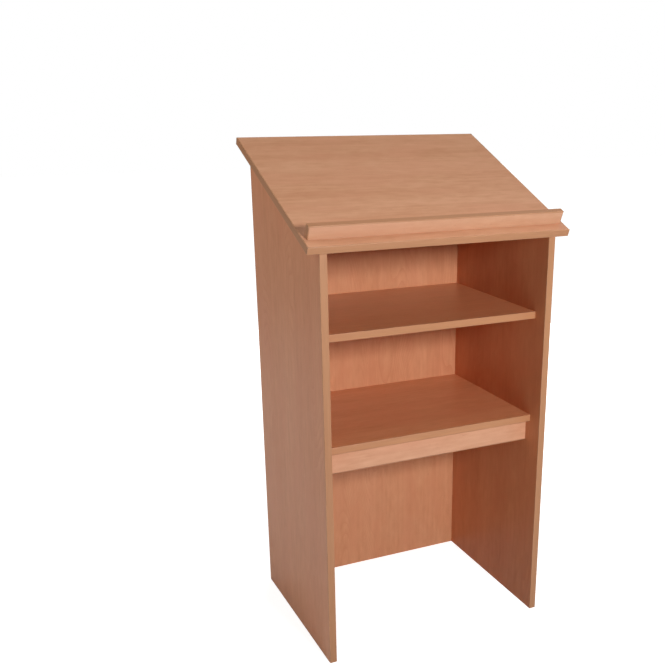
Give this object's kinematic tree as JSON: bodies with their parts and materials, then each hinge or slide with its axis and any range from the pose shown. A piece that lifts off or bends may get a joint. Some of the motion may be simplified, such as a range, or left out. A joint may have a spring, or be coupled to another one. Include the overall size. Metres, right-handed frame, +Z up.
{
  "type": "lectern",
  "caption": "Full-height free-standing lectern in wood-faced board: sloping desk with a book stop, open shelves on the speaker's side and a closed panel towards the audience.",
  "frame": {"origin": "on the floor, under the middle of the lectern's outer box", "axes": "+X to the right of a speaker who stands at the lectern, +Y from the speaker towards the audience, +Z up"},
  "size_m": [0.66, 0.4866, 1.2226],
  "materials": {
    "beech_board": "satin beech-grain melamine facing on particle board",
    "edge_band": "satin beech-coloured edge band with rounded corners",
    "beech_dowel": "bare beech",
    "zinc_screw": "bright zinc plate"
  },
  "bodies": {
    "root": {"side_panel_left": "beech_board", "side_panel_right": "beech_board", "audience_panel": "beech_board", "closing_strip": "beech_board", "desk_board": "beech_board", "book_stop": "beech_board", "upper_shelf": "beech_board", "lower_shelf": "beech_board", "shelf_rail": "beech_board", "left_side_speaker_band": "edge_band", "left_side_audience_band": "edge_band", "right_side_speaker_band": "edge_band", "right_side_audience_band": "edge_band", "desk_low_band": "edge_band", "desk_high_band": "edge_band", "desk_left_band": "edge_band", "desk_right_band": "edge_band", "stop_top_band": "edge_band", "stop_left_band": "edge_band", "stop_right_band": "edge_band", "upper_shelf_band": "edge_band", "lower_shelf_band": "edge_band", "shelf_rail_band": "edge_band", "panel_dowels_left": "beech_dowel", "panel_dowels_right": "beech_dowel", "upper_shelf_dowels_left": "beech_dowel", "upper_shelf_dowels_right": "beech_dowel", "upper_shelf_dowels_back": "beech_dowel", "lower_shelf_dowels_left": "beech_dowel", "lower_shelf_dowels_right": "beech_dowel", "lower_shelf_dowels_back": "beech_dowel", "rail_dowels_left": "beech_dowel", "rail_dowels_right": "beech_dowel", "rail_dowels_top": "beech_dowel", "desk_dowels_left": "beech_dowel", "desk_dowels_right": "beech_dowel", "stop_screws": "zinc_screw", "strip_screws": "zinc_screw"}
  },
  "joints": []
}
